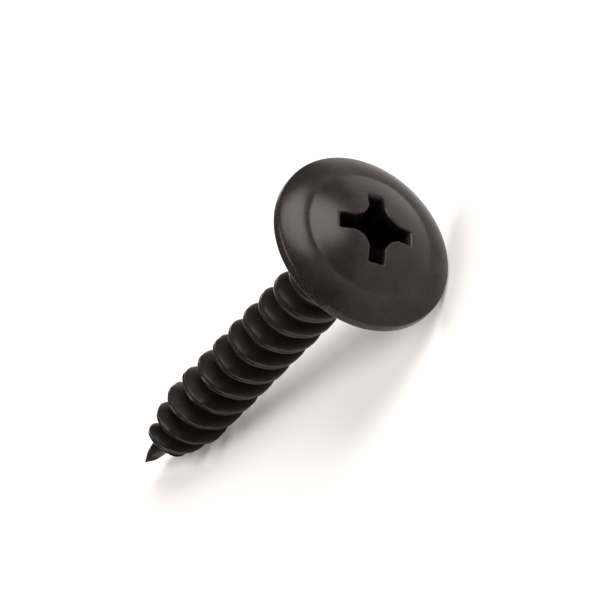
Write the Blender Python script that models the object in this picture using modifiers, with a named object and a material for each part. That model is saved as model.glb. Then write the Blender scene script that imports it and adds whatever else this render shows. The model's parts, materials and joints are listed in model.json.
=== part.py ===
"""A self-tapping screw with a washer head and a cross recess, one piece of cold-headed steel.

The screw is modelled upright in its own frame, with the plane of the bearing face at z = 0, the head
above it and the point below it. An empty then lays it down as it comes to rest on a flat surface:
on the rim of its head and on the last full crest of its thread.
"""

import math

import bmesh
import bpy
from mathutils import Matrix, Vector

# Head, from the rim inwards
HEAD_DIAMETER = 0.0110
RIM_THICKNESS = 0.0008
RIM_ROUNDING = 0.00022
FLANGE_OUTER_SLOPE = math.radians(38)
FLANGE_INNER_SLOPE = math.radians(10)
DOME_DIAMETER = 0.00776
DOME_RISE = 0.0010
DOME_FULLNESS = 2.0
NECK_FILLET = 0.00055
NECK_FILLET_END = math.radians(155)

# Cross recess
RECESS_DIAMETER = 0.0046
RECESS_DEPTH = 0.0022
RECESS_TAPER = math.radians(26.5)
RECESS_TURN = math.radians(6.5)
WING_WIDTH = 0.00098
WING_DRAFT = math.radians(1.5)
NOSE_DIAMETER = 0.0022
NOSE_DRAFT = math.radians(8)
NOSE_FLARE = math.radians(27)
FLOOR_DROP = 0.0003

# Shank and thread
SHANK_LENGTH = 0.0254
THREAD_DIAMETER = 0.0042
THREAD_HEIGHT = 0.00037
THREAD_STARTS = 2
CREST_SPACING = 0.001845
CREST_WIDTH = 0.0004
SHOULDER_WIDTH = 0.0012
SHOULDER_SHARE = 0.6
FOOT_WIDTH = 0.00174
FIRST_CREST = 0.00225
PLAIN_NECK = 0.0007
RUN_OUT = 0.0009

# Point, with lengths measured from its tip
POINT_LENGTH = 0.0045
THREAD_TAPER_LENGTH = 0.0059
THREAD_TAPER_POWER = 0.57
THREAD_END = 0.0023
THREAD_END_FADE = 0.0005

# Fineness of the facets
HEAD_STEPS = 72
SHANK_COLUMNS = 36
ROUNDING_STEPS = 3
FLANGE_STEPS = 5
DOME_STEPS = 8
WELD = 0.0000005
SHARP_ANGLE = math.radians(35)

# Overlaps between the shapes that are joined or cut
PLUG = 0.0003
PLUG_SHARE = 0.9
MOST_FLARE_SHARE = 0.95

# Sizes that follow from those above
FLANGE_EDGE = HEAD_DIAMETER / 2 - RIM_ROUNDING * (1 - math.sin(FLANGE_OUTER_SLOPE))
FLANGE_RUN = FLANGE_EDGE - DOME_DIAMETER / 2
FLANGE_RISE = FLANGE_RUN * (math.tan(FLANGE_INNER_SLOPE) + math.tan(FLANGE_OUTER_SLOPE)) / 2
ROOT_DIAMETER = THREAD_DIAMETER - 2 * THREAD_HEIGHT
LEAD = THREAD_STARTS * CREST_SPACING


def phosphated_steel():
    """Black phosphated steel: a dull, dark brown-grey skin."""
    material = bpy.data.materials.new("black_phosphated_steel")
    material.use_nodes = True
    shader = material.node_tree.nodes["Principled BSDF"]
    shader.inputs["Base Color"].default_value = (0.035, 0.031, 0.030, 1)
    shader.inputs["Metallic"].default_value = 0.6
    shader.inputs["Roughness"].default_value = 0.45
    return material


def add_mesh_object(name, bm, collection):
    """Turns a bmesh into a smoothly shaded object of the collection."""
    mesh = bpy.data.meshes.new(name)
    bm.to_mesh(mesh)
    bm.free()
    mesh.shade_smooth()
    mesh.set_sharp_from_angle(angle=SHARP_ANGLE)
    made = bpy.data.objects.new(name, mesh)
    collection.objects.link(made)
    return made


def hide_tool(tool):
    tool.hide_render = True
    tool.display_type = "WIRE"


def arc(centre, radius, start, end, steps):
    """Points of an arc in the (radius, height) plane, both ends included."""
    angles = [start + (end - start) * i / steps for i in range(steps + 1)]
    return [(centre[0] + radius * math.cos(a), centre[1] + radius * math.sin(a)) for a in angles]


def flange_top_height(radius):
    """Height of the flange's top: nearly level beside the dome, steeper towards the rim."""
    out = radius - DOME_DIAMETER / 2
    bend = (math.tan(FLANGE_OUTER_SLOPE) - math.tan(FLANGE_INNER_SLOPE)) / (2 * FLANGE_RUN)
    return RIM_THICKNESS + FLANGE_RISE - math.tan(FLANGE_INNER_SLOPE) * out - bend * out**2


def dome_height(radius):
    """Height of the dome, which falls ever faster towards the crease where it meets the flange."""
    share = radius / (DOME_DIAMETER / 2)
    return RIM_THICKNESS + FLANGE_RISE + DOME_RISE * (1 - share**DOME_FULLNESS)


def head_profile():
    """Half section of the head from its top centre down the outside to the inside of the neck."""
    inner = DOME_DIAMETER / 2
    outer = HEAD_DIAMETER / 2 - RIM_ROUNDING
    root = ROOT_DIAMETER / 2
    points = []
    for i in range(DOME_STEPS):
        radius = inner * i / DOME_STEPS
        points.append((radius, dome_height(radius)))
    for i in range(FLANGE_STEPS):
        radius = inner + FLANGE_RUN * i / FLANGE_STEPS
        points.append((radius, flange_top_height(radius)))
    upper = (outer, RIM_THICKNESS - RIM_ROUNDING * math.cos(FLANGE_OUTER_SLOPE))
    lower = (outer, RIM_ROUNDING)
    neck = (root + NECK_FILLET, -NECK_FILLET)
    points += arc(upper, RIM_ROUNDING, math.pi / 2 - FLANGE_OUTER_SLOPE, 0, ROUNDING_STEPS)
    points += arc(lower, RIM_ROUNDING, 0, -math.pi / 2, ROUNDING_STEPS)
    points += arc(neck, NECK_FILLET, math.pi / 2, NECK_FILLET_END, ROUNDING_STEPS)
    points.append((root * PLUG_SHARE, -NECK_FILLET))
    points.append((0, -NECK_FILLET))
    return points


def turned_head(collection):
    """The head as a profile turned about the screw's axis, so that it rests on a facet of its rim."""
    bm = bmesh.new()
    half_step = math.pi / HEAD_STEPS
    corners = []
    for radius, height in head_profile():
        corner = (radius * math.cos(half_step), radius * math.sin(half_step), height)
        corners.append(bm.verts.new(corner))
    for first, second in zip(corners, corners[1:]):
        bm.edges.new((first, second))
    head = add_mesh_object("screw", bm, collection)
    turn = head.modifiers.new("turn", "SCREW")
    turn.axis = "Z"
    turn.steps = HEAD_STEPS
    turn.render_steps = HEAD_STEPS
    turn.use_merge_vertices = True
    turn.merge_threshold = WELD
    return head


def core_radius(depth):
    """Radius of the shank between its threads at a depth below the bearing face."""
    to_tip = SHANK_LENGTH - depth
    return ROOT_DIAMETER / 2 * min(to_tip / POINT_LENGTH, 1)


def crest_radius(depth):
    """Radius of the thread's crest: full on the shank, tapering over the point."""
    share = min((SHANK_LENGTH - depth) / THREAD_TAPER_LENGTH, 1)
    return max(THREAD_DIAMETER / 2 * share**THREAD_TAPER_POWER, core_radius(depth))


def thread_share(depth):
    """How much of its height the thread has: none at the neck, all along the shank, none at the tip."""
    start = (depth - PLAIN_NECK) / RUN_OUT
    end = 1 + (SHANK_LENGTH - THREAD_END - depth) / THREAD_END_FADE
    return min(max(min(start, end), 0), 1)


def thread_lines():
    """The lines of one thread as (distance from the crest's middle, share of the height)."""
    upper_side = [(CREST_WIDTH / 2, 1), (SHOULDER_WIDTH / 2, SHOULDER_SHARE), (FOOT_WIDTH / 2, 0)]
    return [(-away, share) for away, share in reversed(upper_side)] + upper_side


def helical_column(bm, turn):
    """Corners down one side of the shank, where every thread line crosses it."""
    first = -math.ceil((FIRST_CREST + PLUG) / CREST_SPACING) - 1
    last = math.ceil((SHANK_LENGTH + LEAD) / CREST_SPACING) + 1
    angle = 2 * math.pi * turn
    column = []
    for crest in range(first, last):
        for offset, share in thread_lines():
            depth = FIRST_CREST + crest * CREST_SPACING - LEAD * turn + offset
            depth = min(max(depth, -PLUG), SHANK_LENGTH)
            height = crest_radius(depth) - core_radius(depth)
            radius = core_radius(depth) + height * share * thread_share(depth)
            column.append(bm.verts.new((radius * math.cos(angle), radius * math.sin(angle), -depth)))
    return column


def threaded_shank(collection):
    """The shank with its threads, as a loft between helical lines and the columns that cross them.

    Each line keeps its distance from a crest as it climbs round the shank, so crests and roots are
    true helices. A line ends where it would leave the shank, inside the head or at the tip.
    """
    bm = bmesh.new()
    columns = [helical_column(bm, j / SHANK_COLUMNS) for j in range(SHANK_COLUMNS + 1)]
    for left, right in zip(columns, columns[1:]):
        for i in range(len(left) - 1):
            bm.faces.new((left[i], left[i + 1], right[i + 1], right[i]))
    bmesh.ops.remove_doubles(bm, verts=bm.verts, dist=WELD)
    bmesh.ops.dissolve_degenerate(bm, edges=bm.edges, dist=WELD)
    top = [edge for edge in bm.edges if edge.is_boundary]
    bmesh.ops.holes_fill(bm, edges=top, sides=0)
    bmesh.ops.recalc_face_normals(bm, faces=bm.faces)
    return add_mesh_object("threaded_shank", bm, collection)


def recess_outline(height, mouth):
    """Outline of the cross recess at a height: four wings, and between them four blunt noses."""
    down = mouth - height
    wing_end = RECESS_DIAMETER / 2 - down * math.tan(RECESS_TAPER)
    half_width = WING_WIDTH / 2 - down * math.tan(WING_DRAFT)
    nose = (NOSE_DIAMETER / 2 - down * math.tan(NOSE_DRAFT)) / math.sqrt(2)
    flare_start = nose + (nose - half_width) / math.tan(NOSE_FLARE)
    flare_start = min(flare_start, wing_end * MOST_FLARE_SHARE)
    quarter = [
        (wing_end, -half_width),
        (wing_end, half_width),
        (flare_start, half_width),
        (nose, nose),
        (half_width, flare_start),
    ]
    outline = []
    for wing in range(4):
        turn = Matrix.Rotation(RECESS_TURN + wing * math.pi / 2, 3, "Z")
        outline += [turn @ Vector((x, y, height)) for x, y in quarter]
    return outline


def recess_punch(collection):
    """The punch that forms the recess, as a loft from above the dome down to its blunt point."""
    top = dome_height(0)
    mouth = dome_height(RECESS_DIAMETER / 2)
    floor = top - RECESS_DEPTH
    bm = bmesh.new()
    rings = []
    for height in (top + PLUG, mouth, floor):
        rings.append([bm.verts.new(point) for point in recess_outline(height, mouth)])
    tip = bm.verts.new((0, 0, floor - FLOOR_DROP))
    corners = len(rings[0])
    for i in range(corners):
        after = (i + 1) % corners
        for upper, lower in zip(rings, rings[1:]):
            bm.faces.new((upper[i], lower[i], lower[after], upper[after]))
        bm.faces.new((rings[-1][i], tip, rings[-1][after]))
    bm.faces.new(rings[0])
    bmesh.ops.recalc_face_normals(bm, faces=bm.faces)
    return add_mesh_object("recess_punch", bm, collection)


def resting_tilt():
    """Angle by which the axis climbs towards the head when rim and thread touch a flat surface."""
    rim = HEAD_DIAMETER / 2 * math.cos(math.pi / HEAD_STEPS)
    slopes = []
    for j in range(SHANK_COLUMNS):
        turn = j / SHANK_COLUMNS
        for crest in range(math.ceil((SHANK_LENGTH + LEAD) / CREST_SPACING)):
            depth = FIRST_CREST + crest * CREST_SPACING - LEAD * turn + CREST_WIDTH / 2
            if thread_share(depth) == 1:
                reach = crest_radius(depth) * math.cos(2 * math.pi * turn)
                slopes.append((rim - reach) / (depth + RIM_ROUNDING))
    return math.atan(min(slopes))


def lay_down(screw, tools):
    """Parents the screw and its tools to an empty, placed so that the screw lies over the origin."""
    lean = math.pi / 2 - resting_tilt()
    evaluated = screw.evaluated_get(bpy.context.evaluated_depsgraph_get())
    corners = [Matrix.Rotation(lean, 3, "Y") @ vertex.co for vertex in evaluated.to_mesh().vertices]
    along = [corner.x for corner in corners]
    lowest = min(corner.z for corner in corners)
    rest = bpy.data.objects.new("resting_place", None)
    rest.empty_display_size = HEAD_DIAMETER / 2
    rest.rotation_euler = (0, lean, 0)
    rest.location = (-(min(along) + max(along)) / 2, 0, -lowest)
    screw.users_collection[0].objects.link(rest)
    for piece in (screw, *tools):
        piece.parent = rest


def main():
    for old in list(bpy.data.objects):
        bpy.data.objects.remove(old)
    parts = bpy.data.collections.new("washer_head_screw")
    tools = bpy.data.collections.new("forming_tools")
    bpy.context.scene.collection.children.link(parts)
    bpy.context.scene.collection.children.link(tools)

    screw = turned_head(parts)
    shank = threaded_shank(tools)
    punch = recess_punch(tools)
    for tool, operation in ((shank, "UNION"), (punch, "DIFFERENCE")):
        hide_tool(tool)
        join = screw.modifiers.new(tool.name, "BOOLEAN")
        join.object = tool
        join.operation = operation
        join.solver = "EXACT"
    screw.data.materials.append(phosphated_steel())
    lay_down(screw, (shank, punch))


main()
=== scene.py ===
# %% [markdown]
# # A self-tapping screw with a washer head
# The real screw is one piece of steel wire. A press heads it cold and punches the cross recess, two dies
# roll the thread and the point, and a hot bath grows a black phosphate skin on it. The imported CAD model
# gives its size and its place. This script puts a finer skin of the same size over it, gives it its
# finish, and lights it on a pale floor.

# %% Load the frame
import json
import math

import bmesh
import bpy
from mathutils import Matrix, Vector, noise


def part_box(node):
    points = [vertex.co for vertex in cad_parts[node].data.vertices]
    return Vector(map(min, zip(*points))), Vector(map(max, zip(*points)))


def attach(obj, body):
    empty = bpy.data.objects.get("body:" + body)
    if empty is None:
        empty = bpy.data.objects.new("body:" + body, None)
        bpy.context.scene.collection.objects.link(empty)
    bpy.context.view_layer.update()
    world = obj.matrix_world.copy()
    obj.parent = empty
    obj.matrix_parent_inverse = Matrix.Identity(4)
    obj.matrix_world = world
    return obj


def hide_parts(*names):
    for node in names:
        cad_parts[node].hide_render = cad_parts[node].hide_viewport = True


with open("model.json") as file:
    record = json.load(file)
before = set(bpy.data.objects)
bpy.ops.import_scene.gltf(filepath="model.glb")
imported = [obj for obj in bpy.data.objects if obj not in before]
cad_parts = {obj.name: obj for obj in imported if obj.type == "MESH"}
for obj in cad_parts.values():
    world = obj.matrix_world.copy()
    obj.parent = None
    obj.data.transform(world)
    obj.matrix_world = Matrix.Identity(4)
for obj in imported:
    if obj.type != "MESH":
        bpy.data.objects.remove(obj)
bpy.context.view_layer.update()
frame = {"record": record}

MM = 0.001
low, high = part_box("screw")
print("CAD box in mm:", [round(side / MM, 2) for side in high - low])

# %% [markdown]
# ## Where the screw lies
# It is easiest to shape a screw that stands upright, with its bearing face at height zero. The record
# names one place on that face, above the screw's axis, and the way that the face looks. That is enough
# to lay the finished mesh down exactly where the CAD screw lies. Measuring the place by eye would be
# quicker to write, but it would come loose as soon as the CAD screw changed.

# %% Find the screw's own frame
MOUNT_ABOVE_AXIS = 3.9 * MM
mount = frame["record"]["mounts"][0]
head_way = -Vector(mount["axis"]).normalized()
level_way = Vector((0, 1, 0))
down_way = level_way.cross(head_way)
lying = Matrix((down_way, level_way, head_way)).transposed().to_4x4()
lying.translation = Vector(mount["pos_m"]) + down_way * MOUNT_ABOVE_AXIS
print("axis climbs", round(math.degrees(math.asin(head_way.z)), 2), "degrees towards the head")

# %% [markdown]
# ## The head's section
# The head is a thin flange that steepens towards its rim, with a low dome in the middle. Both are
# turned shapes, so their heights depend on the radius alone. A press can't form a sharp inner corner,
# so a small hollow stays where the dome meets the flange. A Bevel modifier could make one from a
# finished edge. A soft maximum of the two heights is simpler here: it needs no edge, and it runs
# smoothly into both. The skin follows the CAD head to about 0.03 mm, and its rim stays a hair inside.

# %% Heights of dome and flange
SKIN_MARGIN = 0.004 * MM
HEAD_RADIUS = (high.y - low.y) / 2 - SKIN_MARGIN
RIM_THICKNESS = 0.8 * MM
RIM_ROUNDING = 0.22 * MM
FLANGE_INNER_SLOPE = math.radians(5)
FLANGE_OUTER_SLOPE = math.radians(41)
DOME_RADIUS = 3.88 * MM
DOME_RISE = 0.98 * MM
DOME_FULLNESS = 2.15
CREASE_SOFTNESS = 0.03 * MM
FLANGE_EDGE = HEAD_RADIUS - RIM_ROUNDING * (1 - math.sin(FLANGE_OUTER_SLOPE))
FLANGE_RUN = FLANGE_EDGE - DOME_RADIUS
FLANGE_RISE = FLANGE_RUN * (math.tan(FLANGE_INNER_SLOPE) + math.tan(FLANGE_OUTER_SLOPE)) / 2
FLANGE_BEND = (math.tan(FLANGE_OUTER_SLOPE) - math.tan(FLANGE_INNER_SLOPE)) / (2 * FLANGE_RUN)


def soft_max(a, b, softness):
    """The larger of two numbers, with a rounded change from one to the other."""
    return max(a, b) + max(softness - abs(a - b), 0) ** 2 / (4 * softness)


def head_height(radius):
    """Height of the head's top above the bearing face."""
    out = radius - DOME_RADIUS
    flange = RIM_THICKNESS + FLANGE_RISE - math.tan(FLANGE_INNER_SLOPE) * out - FLANGE_BEND * out**2
    dome = RIM_THICKNESS + FLANGE_RISE + DOME_RISE * (1 - (radius / DOME_RADIUS) ** DOME_FULLNESS)
    return soft_max(dome, flange, CREASE_SOFTNESS)


print("head is", round(head_height(0) / MM, 2), "mm high")

# %% [markdown]
# ## The cross recess
# The punch that makes the recess has four wings, and between them four blunt noses of steel stand
# towards the centre. A Boolean would cut it with hard edges, but a punched edge is rounded over. So the
# outline is written as a distance: below zero inside the recess and above zero outside. The outline at
# any depth, and any rounding beside it, is then just another value of the same distance.

# %% Distance from the recess
RECESS_RADIUS = 2.3 * MM
RECESS_DEPTH = 2.2 * MM
RECESS_TAPER = math.radians(26.5)
WING_HALF_WIDTH = 0.49 * MM
WING_DRAFT = math.radians(1.5)
WING_CORNER = 0.12 * MM
NOSE_RADIUS = 1.1 * MM
NOSE_DRAFT = math.radians(8)
NOSE_FLARE = math.radians(27)
NOSE_CORNER = 0.05 * MM
NOSE_ROUNDING = 0.16 * MM
RECESS_MOUTH = head_height(RECESS_RADIUS)
RECESS_BOTTOM = head_height(0) - RECESS_DEPTH


def soft_min(a, b, softness):
    return -soft_max(-a, -b, softness)


def recess_distance(x, y, height):
    """How far a place lies outside the recess's outline at a height; less than zero is inside."""
    down = RECESS_MOUTH - height
    wing_end = RECESS_RADIUS - down * math.tan(RECESS_TAPER)
    half_width = WING_HALF_WIDTH - down * math.tan(WING_DRAFT)
    nose = (NOSE_RADIUS - down * math.tan(NOSE_DRAFT)) / math.sqrt(2)
    along = max(abs(x), abs(y))
    across = min(abs(x), abs(y))
    flare = (along - nose) * math.sin(NOSE_FLARE) + (across - nose) * math.cos(NOSE_FLARE)
    other_flare = (across - nose) * math.sin(NOSE_FLARE) + (along - nose) * math.cos(NOSE_FLARE)
    centre = soft_min(flare, other_flare, NOSE_ROUNDING)
    inside = soft_min(centre, across - half_width, NOSE_CORNER)
    return soft_max(inside, along - wing_end, WING_CORNER)


print("recess narrows from", round(2 * RECESS_RADIUS / MM, 2), "mm across at its mouth and is",
      round(RECESS_DEPTH / MM, 2), "mm deep")

# %% [markdown]
# ## Finding the outline
# The rows of the mesh need the outline as a radius at each angle. The distance has no neat formula for
# that, but its sign says on which side a place lies. Halving the gap between a place inside and one
# outside closes in on the outline, and after 24 halvings the gap is far finer than any vertex needs.

# %% Radius of the recess at an angle
HALVINGS = 24


def recess_reach(angle, height, offset=0.0):
    """Radius at which the recess's outline, moved outwards by an offset, is met at an angle."""
    near, far = 0.0, 2 * RECESS_RADIUS
    for _ in range(HALVINGS):
        middle = (near + far) / 2
        if recess_distance(middle * math.cos(angle), middle * math.sin(angle), height) < offset:
            near = middle
        else:
            far = middle
    return near


print("recess reaches", round(recess_reach(0, RECESS_MOUTH) / MM, 2), "mm along a wing and",
      round(recess_reach(math.pi / 4, RECESS_MOUTH) / MM, 2), "mm at a nose")

# %% [markdown]
# ## Columns that follow the outline
# The whole screw becomes one grid of rows and columns. Round the shank the columns stand at even angles,
# but at the recess they would miss the corners of the wings. There they are spaced evenly along the
# outline itself, and on the way out over the dome they drift back to even angles.

# %% Spread the columns round the outline
COLUMNS = 240
FINE_STEPS = 2880


def outline_angles():
    """Angles of the columns, evenly spaced along the recess's outline at its mouth."""
    fine = [2 * math.pi * i / FINE_STEPS for i in range(FINE_STEPS + 1)]
    reach = [recess_reach(angle, RECESS_MOUTH) for angle in fine]
    places = [Vector((r * math.cos(a), r * math.sin(a))) for r, a in zip(reach, fine)]
    lengths = [0.0]
    for here, there in zip(places, places[1:]):
        lengths.append(lengths[-1] + (there - here).length)
    angles = []
    i = 0
    for column in range(COLUMNS):
        wanted = lengths[-1] * column / COLUMNS
        while lengths[i + 1] < wanted:
            i += 1
        share = (wanted - lengths[i]) / (lengths[i + 1] - lengths[i])
        angles.append(fine[i] + share * (fine[i + 1] - fine[i]))
    return angles


recess_angles = outline_angles()
even_angles = [2 * math.pi * column / COLUMNS for column in range(COLUMNS)]
print(COLUMNS, "columns stand", round(360 / COLUMNS, 2), "degrees apart round the shank")

# %% [markdown]
# ## Rows of the head
# Each row is a closed ring with one place for each column. From the middle of the recess the rows climb
# its walls, roll over its mouth, run down the dome and out over the flange, round the rim, and come back
# under the head to the neck. Turning a profile with a Screw modifier would be quicker, but it can't make
# a cross. Each place also carries two numbers for the finish: painted shade, which darkens the colour and
# sheen and roughens the surface where shadow falls, and wear, where everything rubs it.

# %% A place in a row
RECESS_TURN = math.radians(6.5)

head_rows = []


def head_place(radius, angle, height, painted_shade=0.0, wear=0.0):
    """A place on the head, with the whole head turned as the recess is in the photograph."""
    turned = angle + RECESS_TURN
    return (radius * math.cos(turned), radius * math.sin(turned), height, painted_shade, wear)


print("recess is turned by", round(math.degrees(RECESS_TURN), 1), "degrees")

# %% [markdown]
# ## Floor, walls and mouth of the recess
# A punched recess has a floor that dips in the middle, walls that lean outwards, and a mouth that the
# steel rolls over. Its floor and walls carry painted shade nearly up to the top, for the shadow in the
# hole: a high power of the height keeps the change to a narrow band. The mouth is rubbed most halfway
# round its rounding.

# %% Rows of the recess
FLOOR_SHARES = (0.3, 0.6, 0.85)
FLOOR_DROP = 0.3 * MM
WALL_ROWS = 10
WALL_SHADE_POWER = 12
MOUTH_ROWS = 4
MOUTH_ROUNDING = 0.1 * MM


def add_recess_rows():
    tops = []
    for angle in recess_angles:
        tops.append(head_height(recess_reach(angle, RECESS_MOUTH)) - MOUTH_ROUNDING)
    # painted shade: the floor of the recess is darkened in full
    for share in FLOOR_SHARES:
        height = RECESS_BOTTOM - FLOOR_DROP * (1 - share)
        row = []
        for angle in recess_angles:
            row.append(head_place(share * recess_reach(angle, RECESS_BOTTOM), angle, height, painted_shade=1))
        head_rows.append(row)
    for step in range(WALL_ROWS):
        share = step / (WALL_ROWS - 1)
        # painted shade on the walls, fading out in the last rows below the mouth
        painted_shade = 1 - share**WALL_SHADE_POWER
        row = []
        for angle, top in zip(recess_angles, tops):
            height = RECESS_BOTTOM + (top - RECESS_BOTTOM) * share
            row.append(head_place(recess_reach(angle, height), angle, height, painted_shade))
        head_rows.append(row)
    for step in range(1, MOUTH_ROWS + 1):
        lean = math.pi / 2 * step / MOUTH_ROWS
        offset = MOUTH_ROUNDING * (1 - math.cos(lean))
        row = []
        for angle, top in zip(recess_angles, tops):
            reach = recess_reach(angle, RECESS_MOUTH, offset)
            height = head_height(reach) - MOUTH_ROUNDING * (1 - math.sin(lean))
            row.append(head_place(reach, angle, height, wear=math.sin(2 * lean)))
        head_rows.append(row)


add_recess_rows()
print(len(head_rows), "rows in the recess")

# %% [markdown]
# ## Over the dome
# The dome is the plain, smooth middle of the head. Its rows start as a cross at the recess's mouth and
# end as a circle at the crease, and each is a blend of the two. The angles are blended too, so the
# columns end up evenly spaced.

# %% Rows of the dome
DOME_ROWS = 14


def add_dome_rows():
    for step in range(1, DOME_ROWS):
        share = step / DOME_ROWS
        row = []
        for angle, even in zip(recess_angles, even_angles):
            mouth = recess_reach(angle, RECESS_MOUTH, MOUTH_ROUNDING)
            radius = mouth + (DOME_RADIUS - mouth) * share
            row.append(head_place(radius, angle + (even - angle) * share, head_height(radius)))
        head_rows.append(row)


add_dome_rows()
print(DOME_ROWS - 1, "rows on the dome")

# %% [markdown]
# ## Flange, rim, bearing face and neck
# From here on everything is turned, so a row needs only a radius and a height. The rim is two arcs, one
# that takes over the flange's slope and one that runs level into the bearing face. It is the edge that
# other screws knock against, so it is worn along its outermost line. The fillet under the head gets
# painted shade at a little more than half strength, for the shadow that the head throws there.

# %% Rows of the flange and the underside
FLANGE_ROWS = 16
ARC_ROWS = 5
RIM_WEAR_POWER = 8
BEARING_SHARES = (0.33, 0.66)
THREAD_RADIUS = 2.1 * MM
THREAD_HEIGHT = 0.37 * MM
ROOT_RADIUS = THREAD_RADIUS - THREAD_HEIGHT
NECK_FILLET = 0.55 * MM
NECK_PAINTED_SHADE = 0.6


def add_turned_row(radius, height, painted_shade=0.0, wear=0.0):
    head_rows.append([head_place(radius, angle, height, painted_shade, wear) for angle in even_angles])


def add_outer_rows():
    outer = HEAD_RADIUS - RIM_ROUNDING
    for step in range(FLANGE_ROWS):
        radius = DOME_RADIUS + FLANGE_RUN * step / FLANGE_ROWS
        add_turned_row(radius, head_height(radius))
    upper = RIM_THICKNESS - RIM_ROUNDING * math.cos(FLANGE_OUTER_SLOPE)
    arcs = ((upper, math.pi / 2 - FLANGE_OUTER_SLOPE, 0), (RIM_ROUNDING, 0, -math.pi / 2))
    for middle, start, end in arcs:
        for step in range(ARC_ROWS + 1):
            lean = start + (end - start) * step / ARC_ROWS
            radius = outer + RIM_ROUNDING * math.cos(lean)
            height = middle + RIM_ROUNDING * math.sin(lean)
            add_turned_row(radius, height, wear=math.cos(lean) ** RIM_WEAR_POWER)
    neck = ROOT_RADIUS + NECK_FILLET
    for share in BEARING_SHARES:
        add_turned_row(outer + (neck - outer) * share, 0)
    for step in range(ARC_ROWS + 1):
        lean = math.pi / 2 * step / ARC_ROWS
        height = -NECK_FILLET * (1 - math.cos(lean))
        # painted shade in the fillet under the head
        add_turned_row(neck - NECK_FILLET * math.sin(lean), height, painted_shade=NECK_PAINTED_SHADE)


add_outer_rows()
print(len(head_rows), "rows in the whole head")

# %% [markdown]
# ## Shank and point
# The real shank is an even core that ends in a cone, and the dies leave its tip a little blunt. Here the
# core is the smaller of two curves, a cylinder that ends in a cone and a parabola that blunts the tip.
# The parabola is the smaller one over most of the shank as well, so this core narrows all the way down
# and the thread on it gets deeper, where the real core and the CAD screw's are even: a plain cone would
# be nearer to both. Each thread starts low at the neck and fades out short of the tip, and the tip stops
# 0.01 mm short of the CAD screw's.

# %% Radii down the shank
SHANK_LENGTH = 25.39 * MM
POINT_LENGTH = 4.5 * MM
POINT_BLUNTING = 0.07 * MM
CREST_TAPER_LENGTH = 5.9 * MM
CREST_TAPER_POWER = 0.57
PLAIN_NECK = 0.7 * MM
RUN_OUT = 0.9 * MM
THREAD_ENDS = (2.3 * MM, 2.75 * MM)
THREAD_END_FADE = 0.5 * MM


def core_radius(depth):
    """Radius of the shank between its threads, at a depth under the bearing face."""
    to_tip = max(SHANK_LENGTH - depth, 0)
    cone = ROOT_RADIUS * min((to_tip + POINT_BLUNTING) / POINT_LENGTH, 1)
    return min(cone, math.sqrt(2 * POINT_BLUNTING * to_tip))


def crest_radius(depth):
    share = max(min((SHANK_LENGTH - depth) / CREST_TAPER_LENGTH, 1), 0)
    return max(THREAD_RADIUS * share**CREST_TAPER_POWER, core_radius(depth))


def thread_share(depth, start):
    """How much of its height a thread has: none at the neck, all along the shank, none at the tip."""
    begins = (depth - PLAIN_NECK) / RUN_OUT
    ends = 1 + (SHANK_LENGTH - THREAD_ENDS[start] - depth) / THREAD_END_FADE
    share = min(max(min(begins, ends), 0), 1)
    return share * share * (3 - 2 * share)


print("core is", round(core_radius(NECK_FILLET) / MM, 2), "mm in radius at the neck and",
      round(core_radius(SHANK_LENGTH / 2) / MM, 2), "mm halfway down")

# %% [markdown]
# ## The rolled thread
# Two threads run side by side round the shank, half a turn apart. Rolling pushes the steel up between
# the dies, so the crests are rounded, and the roots between them lie deep, where nothing rubs. A helix
# with a profile along it would leave the grid of columns, and would have to be joined to the shank. Here
# the columns are cut by lines that climb with the thread, not by level rows, so crests and roots stay
# smooth however steep they are. The lines are crowded at the crest, where the surface bends most. Each
# line also carries painted shade, darkest just past each root, at the foot of the flank that faces the
# head, where the thread lies in shadow.

# %% Lines of one thread
CREST_SPACING = 1.845 * MM
CREST_FULLNESS = 0.55
LINES_A_SIDE = 9
LINE_CROWDING = 1.2
# painted shade in the roots of the thread: its strength, middle and reach
ROOT_PAINTED_SHADE = 0.8
ROOT_SHADE_MIDDLE = 1.1
ROOT_SHADE_REACH = 0.75


def thread_lines():
    """Lines of one thread as (distance past its crest, share of its height, painted shade)."""
    lines = []
    for step in range(-LINES_A_SIDE, LINES_A_SIDE):
        away = math.copysign(abs(step / LINES_A_SIDE) ** LINE_CROWDING, step)
        wave = (1 + math.cos(math.pi * away)) / 2
        # painted shade, strongest round the foot of the flank that faces the head
        from_root = min(abs(away - ROOT_SHADE_MIDDLE), abs(away + 2 - ROOT_SHADE_MIDDLE))
        painted_shade = max(1 - (from_root / ROOT_SHADE_REACH) ** 2, 0)
        lines.append((away * CREST_SPACING / 2, wave**CREST_FULLNESS, ROOT_PAINTED_SHADE * painted_shade))
    return lines


one_thread = thread_lines()
print(len(one_thread), "lines make one thread, and crests are", round(CREST_SPACING / MM, 3), "mm apart")

# %% [markdown]
# ## Uneven crests
# No two turns of a rolled thread are quite alike. The crests wander a little and rise unevenly, and a
# shallow seam stays along the middle of each, where the two sides of the thread fold together. Noise
# that is read at the place on the shank does this the same way in every run, where random numbers would
# need a seed. It moves and lowers the crests, but never lifts them past the thread's full diameter.

# %% Columns of the shank
STARTS = 2
LEAD = STARTS * CREST_SPACING
FIRST_CREST = 2.25 * MM
WANDER = 0.08 * MM
WANDER_SIZE = 1.3 * MM
UNEVENNESS = 0.1
UNEVEN_SIZE = 0.55 * MM
SEAM_WIDTH = 0.26 * MM
SEAM_DEPTH = 0.03 * MM
CREST_WEAR = 0.3
CREST_WEAR_POWER = 24


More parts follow.
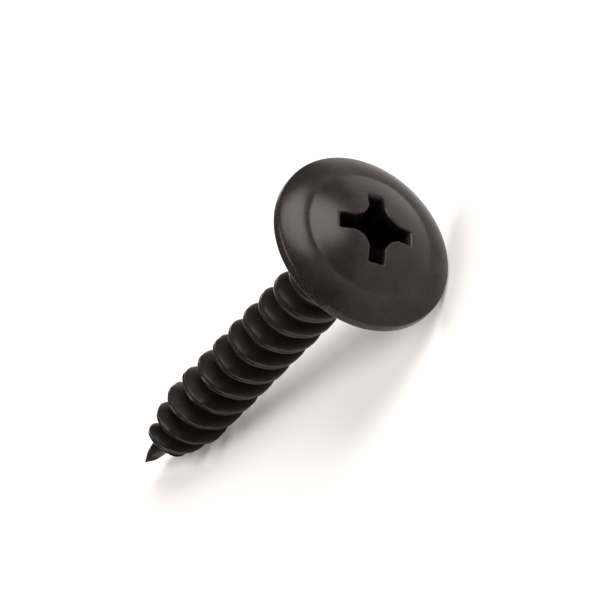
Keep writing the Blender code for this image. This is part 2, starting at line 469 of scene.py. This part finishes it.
def shank_column(turn):
    """Places down one side of the shank, where every thread line crosses it."""
    first = -math.ceil((FIRST_CREST + NECK_FILLET) / CREST_SPACING) - 1
    last = math.ceil((SHANK_LENGTH + LEAD) / CREST_SPACING) + 1
    angle = 2 * math.pi * turn
    way = Vector((math.cos(angle), math.sin(angle), 0))
    column = []
    for crest in range(first, last):
        middle = FIRST_CREST + crest * CREST_SPACING - LEAD * turn
        crest_place = way * THREAD_RADIUS - Vector((0, 0, middle))
        middle += WANDER * noise.noise(crest_place / WANDER_SIZE)
        for offset, share, painted_shade in one_thread:
            depth = min(max(middle + offset, NECK_FILLET), SHANK_LENGTH)
            uneven = noise.noise((way * THREAD_RADIUS - Vector((0, 0, depth))) / UNEVEN_SIZE)
            height = (crest_radius(depth) - core_radius(depth)) * thread_share(depth, crest % STARTS)
            seam = SEAM_DEPTH * max(1 - (2 * offset / SEAM_WIDTH) ** 2, 0)
            rise = height * (share * (1 - UNEVENNESS * (1 + uneven) / 2) - seam / THREAD_HEIGHT)
            place = way * (core_radius(depth) + rise)
            column.append((place.x, place.y, -depth, painted_shade, CREST_WEAR * share**CREST_WEAR_POWER))
    return column


shank_columns = [shank_column(step / COLUMNS) for step in range(COLUMNS + 1)]
print(len(shank_columns[0]), "lines cross each column of the shank")

# %% [markdown]
# ## One skin
# Rows and columns become one mesh, as the real screw has one skin, and what coincides is merged. Head
# and shank meet at the neck on the same circle. The head is turned by 6.5 degrees, which isn't a whole
# number of columns, so their places take turns on that circle and don't merge: a seam stays open there,
# finer than a thousandth of a millimetre. Painted shade and wear are kept on the vertices, where the
# finish can read them.

# %% Join rows and columns into a mesh
WELD = 0.0002 * MM
SHARP_ANGLE = math.radians(50)


def place_vertex(bm, place, layers):
    vertex = bm.verts.new(place[:3])
    for layer, value in zip(layers, place[3:]):
        vertex[layer] = value
    return vertex


def screw_mesh():
    bm = bmesh.new()
    layers = (bm.verts.layers.float.new("painted_shade"), bm.verts.layers.float.new("wear"))
    rows = [[place_vertex(bm, place, layers) for place in row] for row in head_rows]
    # the middle of the recess floor, in full painted shade
    middle = place_vertex(bm, (0, 0, RECESS_BOTTOM - FLOOR_DROP, 1, 0), layers)
    for i in range(COLUMNS):
        after = (i + 1) % COLUMNS
        bm.faces.new((middle, rows[0][i], rows[0][after]))
        for inner, outer in zip(rows, rows[1:]):
            bm.faces.new((inner[i], outer[i], outer[after], inner[after]))
    columns = [[place_vertex(bm, place, layers) for place in column] for column in shank_columns]
    for left, right in zip(columns, columns[1:]):
        for i in range(len(left) - 1):
            bm.faces.new((left[i], left[i + 1], right[i + 1], right[i]))
    bmesh.ops.remove_doubles(bm, verts=bm.verts, dist=WELD)
    bmesh.ops.dissolve_degenerate(bm, edges=bm.edges, dist=WELD)
    bmesh.ops.recalc_face_normals(bm, faces=bm.faces)
    open_edges = [edge for edge in bm.edges if not edge.is_manifold]
    print(len(bm.faces), "faces and", len(open_edges), "open edges")
    mesh = bpy.data.meshes.new("washer_head_screw")
    bm.to_mesh(mesh)
    bm.free()
    mesh.shade_smooth()
    mesh.set_sharp_from_angle(angle=SHARP_ANGLE)
    return mesh


skin_mesh = screw_mesh()
skin_mesh.transform(lying)
screw = bpy.data.objects.new("washer_head_screw", skin_mesh)
bpy.context.scene.collection.objects.link(screw)

# %% [markdown]
# ## Black phosphate
# The finish is black manganese phosphate, oiled. A hot bath grows a felt of dark crystals on the steel,
# a few hundredths of a millimetre across, so the surface is dull and brown-black with a soft, broad
# sheen from the oil. A flat colour would look like plastic, so the finish is built from nodes, in steps.
# The nodes read places on the screw itself, so it needs no unwrapping. First come three helpers: one for
# colours, one that adds a node, and one that makes an empty material.

# %% Helpers for nodes and colours
def linear(hex_colour):
    """Turns an sRGB colour such as "2b2526" into the linear values that Blender uses."""
    values = [int(hex_colour[i:i + 2], 16) / 255 for i in (0, 2, 4)]
    return [v / 12.92 if v <= 0.04045 else ((v + 0.055) / 1.055) ** 2.4 for v in values] + [1.0]


def add_node(tree, kind, inputs=None, **settings):
    """Adds a node, sets its settings, and fills its inputs, which are given by name or by number.

    An input is filled with a value, with another node's output, or with a node's first output."""
    node = tree.nodes.new(kind)
    for name, value in settings.items():
        setattr(node, name, value)
    for key, value in (inputs or {}).items():
        if isinstance(key, str):
            key = next(i for i, s in enumerate(node.inputs) if s.name == key and s.enabled)
        if isinstance(value, bpy.types.Node):
            value = next(s for s in value.outputs if s.enabled)
        if isinstance(value, bpy.types.NodeSocket):
            tree.links.new(value, node.inputs[key])
        else:
            node.inputs[key].default_value = value
    return node


def new_material(name):
    material = bpy.data.materials.new(name)
    material.use_nodes = True
    material.node_tree.nodes.clear()
    return material


print("2b2526 is", [round(v, 3) for v in linear("2b2526")[:3]], "in linear values")

# %% [markdown]
# ## The felt of crystals
# Two noises make the felt: patches about a millimetre wide, where the bath worked more or less, and the
# crystals themselves. They are too fine for this picture, so they are drawn about twice as coarse as
# they are. Their sum mixes a darker and a lighter phosphate. The same two noises also lift the surface
# in a pair of Bump nodes, so that tone and relief belong together.

# %% Patches and crystals
PHOSPHATE_DARK = "181314"
PHOSPHATE_LIGHT = "2b2526"
PATCH_SIZE = 1.1 * MM
PATCH_DETAIL = 4.0
PATCH_WEIGHT = 0.6
CRYSTAL_SIZE = 0.07 * MM
CRYSTAL_DETAIL = 2.0
FELT_DARK_UP_TO = 0.55
FELT_LIGHT_FROM = 1.05

skin = new_material("black_manganese_phosphate_oiled")
tree = skin.node_tree
place = add_node(tree, "ShaderNodeTexCoord").outputs["Object"]
patches = add_node(tree, "ShaderNodeTexNoise", {
    "Vector": place, "Scale": 1 / PATCH_SIZE, "Detail": PATCH_DETAIL,
})
crystals = add_node(tree, "ShaderNodeTexNoise", {
    "Vector": place, "Scale": 1 / CRYSTAL_SIZE, "Detail": CRYSTAL_DETAIL,
})
felt = add_node(tree, "ShaderNodeMath", {
    0: patches, 1: PATCH_WEIGHT, 2: crystals,
}, operation="MULTIPLY_ADD")
spread = add_node(tree, "ShaderNodeMapRange", {
    "Value": felt, "From Min": FELT_DARK_UP_TO, "From Max": FELT_LIGHT_FROM,
})
tone = add_node(tree, "ShaderNodeMix", {
    "Factor": spread, "A": linear(PHOSPHATE_DARK), "B": linear(PHOSPHATE_LIGHT),
}, data_type="RGBA")
print("phosphate crystals drawn", round(CRYSTAL_SIZE / MM, 3), "mm across")

# %% [markdown]
# ## Worn places and painted shade
# Where parts rub in the drum the felt is burnished and paler, and the tops of the crystals go first. In
# the recess, under the head and at the foot of the thread, shade is painted in: the colour goes nearly
# black and the sheen darker, and the surface is rougher there too. Painted shade and wear come from the
# mesh, so they sit exactly on its edges and roots, which a mask from the surface's curvature would only
# find roughly.

# %% Burnish the edges and paint shade into the recess and the roots
PHOSPHATE_BURNISHED = "4d4646"
# painted shade: a near black colour and a dark sheen for the shadow in the recess, the fillet and the
# roots
PAINTED_SHADE_COLOUR = "080404"
OIL_SHEEN = "ffffff"
PAINTED_SHADE_SHEEN = "1c1817"
ROUGH_OILED = 0.26
ROUGH_IN_PAINTED_SHADE = 0.8
RUB_STARTS = 0.5
RUB_IS_FULL = 0.7

painted_shade = add_node(tree, "ShaderNodeAttribute", attribute_name="painted_shade").outputs["Fac"]
wear = add_node(tree, "ShaderNodeAttribute", attribute_name="wear").outputs["Fac"]
rubbed = add_node(tree, "ShaderNodeMapRange", {
    "Value": crystals, "From Min": RUB_STARTS, "From Max": RUB_IS_FULL,
})
burnish = add_node(tree, "ShaderNodeMath", {0: wear, 1: rubbed}, operation="MULTIPLY")
worn_tone = add_node(tree, "ShaderNodeMix", {
    "Factor": burnish, "A": tone, "B": linear(PHOSPHATE_BURNISHED),
}, data_type="RGBA")
# painted shade darkens the colour
colour = add_node(tree, "ShaderNodeMix", {
    "Factor": painted_shade, "A": worn_tone, "B": linear(PAINTED_SHADE_COLOUR),
}, data_type="RGBA")
roughness = add_node(tree, "ShaderNodeMapRange", {
    "Value": painted_shade, "To Min": ROUGH_OILED, "To Max": ROUGH_IN_PAINTED_SHADE,
})
# the sheen is darkened where shade is painted
sheen_with_painted_shade = add_node(tree, "ShaderNodeMix", {
    "Factor": painted_shade, "A": linear(OIL_SHEEN), "B": linear(PAINTED_SHADE_SHEEN),
}, data_type="RGBA")
print("roughness goes from", ROUGH_OILED, "in the open to", ROUGH_IN_PAINTED_SHADE, "in shelter")

# %% [markdown]
# ## The oiled skin
# Phosphate is no metal to the eye, but a dark crust that drinks in oil, so the shader stays at metallic
# zero with the refraction of oil. The crust breaks the oil's surface up, so it reflects only about half
# of what a clean film would, and the specular level comes down to match.

# %% Put the finish on the screw
DENT_HEIGHT = 0.03 * MM
DENT_STRENGTH = 0.5
CRYSTAL_HEIGHT = 0.006 * MM
CRYSTAL_STRENGTH = 0.6
OIL_IOR = 1.45
OIL_SPECULAR = 0.235

dents = add_node(tree, "ShaderNodeBump", {
    "Height": patches, "Distance": DENT_HEIGHT, "Strength": DENT_STRENGTH,
})
grain = add_node(tree, "ShaderNodeBump", {
    "Height": crystals, "Distance": CRYSTAL_HEIGHT, "Strength": CRYSTAL_STRENGTH, "Normal": dents,
})
shader = add_node(tree, "ShaderNodeBsdfPrincipled", {
    "Base Color": colour, "Roughness": roughness, "IOR": OIL_IOR, "Specular IOR Level": OIL_SPECULAR,
    "Specular Tint": sheen_with_painted_shade, "Normal": grain,
})
add_node(tree, "ShaderNodeOutputMaterial", {"Surface": shader})
screw.data.materials.append(skin)
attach(screw, "root")
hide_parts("screw")
print("the finish has", len(tree.nodes), "nodes")

# %% [markdown]
# ## The camera
# The photograph looks down on the head at a slant, from far away through a long lens. Its angle to the
# screw's axis, its scale and its turn were read from the picture's outline. The camera is built from
# three directions at right angles, seen from the screw, because aiming it at a target would leave its
# turn about the line of sight open.

# %% Directions as the camera sees them
PHOTO_VIEW_ANGLE = math.radians(42.94)
PHOTO_AXIS_TURN = math.radians(134.665)
CAMERA_SIDE = math.radians(60)

near_side = Matrix.Rotation(CAMERA_SIDE, 3, head_way) @ -down_way
towards_camera = head_way * math.cos(PHOTO_VIEW_ANGLE) + near_side * math.sin(PHOTO_VIEW_ANGLE)
along_view = near_side * math.cos(PHOTO_VIEW_ANGLE) - head_way * math.sin(PHOTO_VIEW_ANGLE)
across_view = head_way.cross(near_side)
turn_cos, turn_sin = math.cos(PHOTO_AXIS_TURN), math.sin(PHOTO_AXIS_TURN)
right_way = along_view * turn_cos + across_view * turn_sin
above_way = -along_view * turn_sin + across_view * turn_cos
print("camera looks down at", round(math.degrees(math.asin(towards_camera.z))), "degrees")

# %% [markdown]
# ## Where the camera stands
# A long lens from far away shows almost no perspective, as in the photograph. The middle of the head's
# rim is the place to hold on to, because it is easy to find in the picture: the camera steps sideways
# until that place falls where the photograph has it.

# %% Place the camera
PHOTO_SIZE = 600
PHOTO_RIM_CENTRE = (361.27, 243.97)
PHOTO_RIM_HEIGHT = 0.46 * MM
PHOTO_PIXELS_PER_MM = 17.678
LENS = 1000
SENSOR = 36
CLIP_FACTOR = 10

rim_centre = lying @ Vector((0, 0, PHOTO_RIM_HEIGHT))
picture_width = PHOTO_SIZE / PHOTO_PIXELS_PER_MM * MM
distance = LENS * picture_width / SENSOR
shift_right = (PHOTO_RIM_CENTRE[0] - PHOTO_SIZE / 2) / PHOTO_PIXELS_PER_MM * MM
shift_down = (PHOTO_RIM_CENTRE[1] - PHOTO_SIZE / 2) / PHOTO_PIXELS_PER_MM * MM
camera = bpy.data.objects.new("camera", bpy.data.cameras.new("camera"))
camera.data.lens = LENS
camera.data.sensor_width = SENSOR
camera.data.clip_start = distance / CLIP_FACTOR
camera.data.clip_end = distance * CLIP_FACTOR
camera.matrix_world = Matrix((right_way, above_way, towards_camera)).transposed().to_4x4()
camera.location = (rim_centre + towards_camera * distance
                   - right_way * shift_right + above_way * shift_down)
bpy.context.scene.collection.objects.link(camera)
bpy.context.scene.camera = camera
print("camera stands", round(distance, 3), "m away")

# %% [markdown]
# ## A pale floor
# The screw lies on matt white paper. A large, flat grid is enough for it. It lies a hair below zero, so
# that it doesn't flicker against the places where the screw touches it.

# %% Lay the floor
FLOOR_SIZE = 8.0
FLOOR_SEGMENTS = 4
FLOOR_DEPTH = 0.01 * MM

bm = bmesh.new()
bmesh.ops.create_grid(bm, x_segments=FLOOR_SEGMENTS, y_segments=FLOOR_SEGMENTS, size=FLOOR_SIZE / 2)
floor_mesh = bpy.data.meshes.new("paper_floor")
bm.to_mesh(floor_mesh)
bm.free()
floor = bpy.data.objects.new("paper_floor", floor_mesh)
floor.location.z = -FLOOR_DEPTH
bpy.context.scene.collection.objects.link(floor)
print("floor is", FLOOR_SIZE, "m wide")

# %% [markdown]
# ## White paper
# Paper that is lit at a plain level renders a little grey, so the floor glows just enough for the camera
# and for reflections to reach white where no shadow falls. Brighter lamps would do it too, but they
# would wash out the screw. Far from the lamps the floor glows more, so that it stays white as far as a
# low camera sees. The glow doesn't light the screw from below, and the screw's shadow stays.

# %% Give the floor its paper
PAPER_WHITE = "e0e0e0"
PAPER_GLOW = 0.26
FAR_GLOW = 1.2
GLOW_STARTS_TO_RISE = 0.1
GLOW_IS_FULL = 0.5

paper = new_material("matt_white_paper")
tree = paper.node_tree
rays = add_node(tree, "ShaderNodeLightPath").outputs
camera_or_gloss = add_node(tree, "ShaderNodeMath", {
    0: rays["Is Camera Ray"], 1: rays["Is Glossy Ray"],
}, operation="MAXIMUM")
seen = add_node(tree, "ShaderNodeMath", {
    0: camera_or_gloss, 1: rays["Is Transmission Ray"],
}, operation="MAXIMUM")
floor_place = add_node(tree, "ShaderNodeTexCoord").outputs["Object"]
from_screw = add_node(tree, "ShaderNodeVectorMath", {"Vector": floor_place}, operation="LENGTH")
glow_here = add_node(tree, "ShaderNodeMapRange", {
    "Value": from_screw, "From Min": GLOW_STARTS_TO_RISE, "From Max": GLOW_IS_FULL,
    "To Min": PAPER_GLOW, "To Max": FAR_GLOW,
})
glow = add_node(tree, "ShaderNodeMath", {0: seen, 1: glow_here}, operation="MULTIPLY")
matt = add_node(tree, "ShaderNodeBsdfDiffuse", {"Color": linear(PAPER_WHITE)})
light_on_paper = add_node(tree, "ShaderNodeEmission", {"Color": linear(PAPER_WHITE), "Strength": glow})
both = add_node(tree, "ShaderNodeAddShader", {0: matt, 1: light_on_paper})
add_node(tree, "ShaderNodeOutputMaterial", {"Surface": both})
floor.data.materials.append(paper)
print("paper glows at", PAPER_GLOW, "round the screw and at", FAR_GLOW, "far away")

# %% [markdown]
# ## Two softboxes
# In the photograph a broad sheen lies over the left of the head, and the right of the shank is dark: a
# large, soft light stands above the camera, where the left of the head mirrors it, and a weaker one on
# the left picks out the ends of the thread's crests. Big area lamps near the object give that soft fall
# from light to dark. Small lamps would draw hard, shiny spots. Their directions are given as the camera
# sees them: to the right, upwards and towards it.

# %% Hang the lamps
LAMP_DISTANCE = 0.5
LAMP_SIZE = 0.42
LAMP_COLOUR = "fff8f0"
KEY_LEAN = (0.03, 0.87, 0.44)
KEY_POWER = 3.7
SIDE_LEAN = (-0.92, 0.23, 0.32)
SIDE_POWER = 2.1


def hang_lamp(name, lean, power):
    """An area lamp that looks at the screw's head."""
    right, above, towards = lean
    way = right_way * right + above_way * above + towards_camera * towards
    lamp = bpy.data.objects.new(name, bpy.data.lights.new(name, "AREA"))
    lamp.data.shape = "DISK"
    lamp.data.size = LAMP_SIZE
    lamp.data.energy = power
    lamp.data.color = linear(LAMP_COLOUR)[:3]
    lamp.location = rim_centre + way.normalized() * LAMP_DISTANCE
    lamp.rotation_mode = "QUATERNION"
    lamp.rotation_quaternion = (-way).to_track_quat("-Z", "Y")
    bpy.context.scene.collection.objects.link(lamp)
    print(name, "hangs", round(lamp.location.z, 2), "m above the floor")


hang_lamp("key_softbox", KEY_LEAN, KEY_POWER)
hang_lamp("side_softbox", SIDE_LEAN, SIDE_POWER)

# %% [markdown]
# ## The room
# The rest of the room is dim. A faint white from all sides keeps the shadows from going dead black,
# where a brighter one would lift the dark side of the shank. The view transform is Standard, so that a
# colour renders as it is written.

# %% Dim the room
ROOM_COLOUR = "ffffff"
ROOM_STRENGTH = 0.1

room = bpy.data.worlds.new("dim_room")
room.use_nodes = True
tree = room.node_tree
tree.nodes.clear()
air = add_node(tree, "ShaderNodeBackground", {"Color": linear(ROOM_COLOUR), "Strength": ROOM_STRENGTH})
add_node(tree, "ShaderNodeOutputWorld", {"Surface": air})
bpy.context.scene.world = room
bpy.context.scene.view_settings.view_transform = "Standard"
print("room has a strength of", ROOM_STRENGTH)
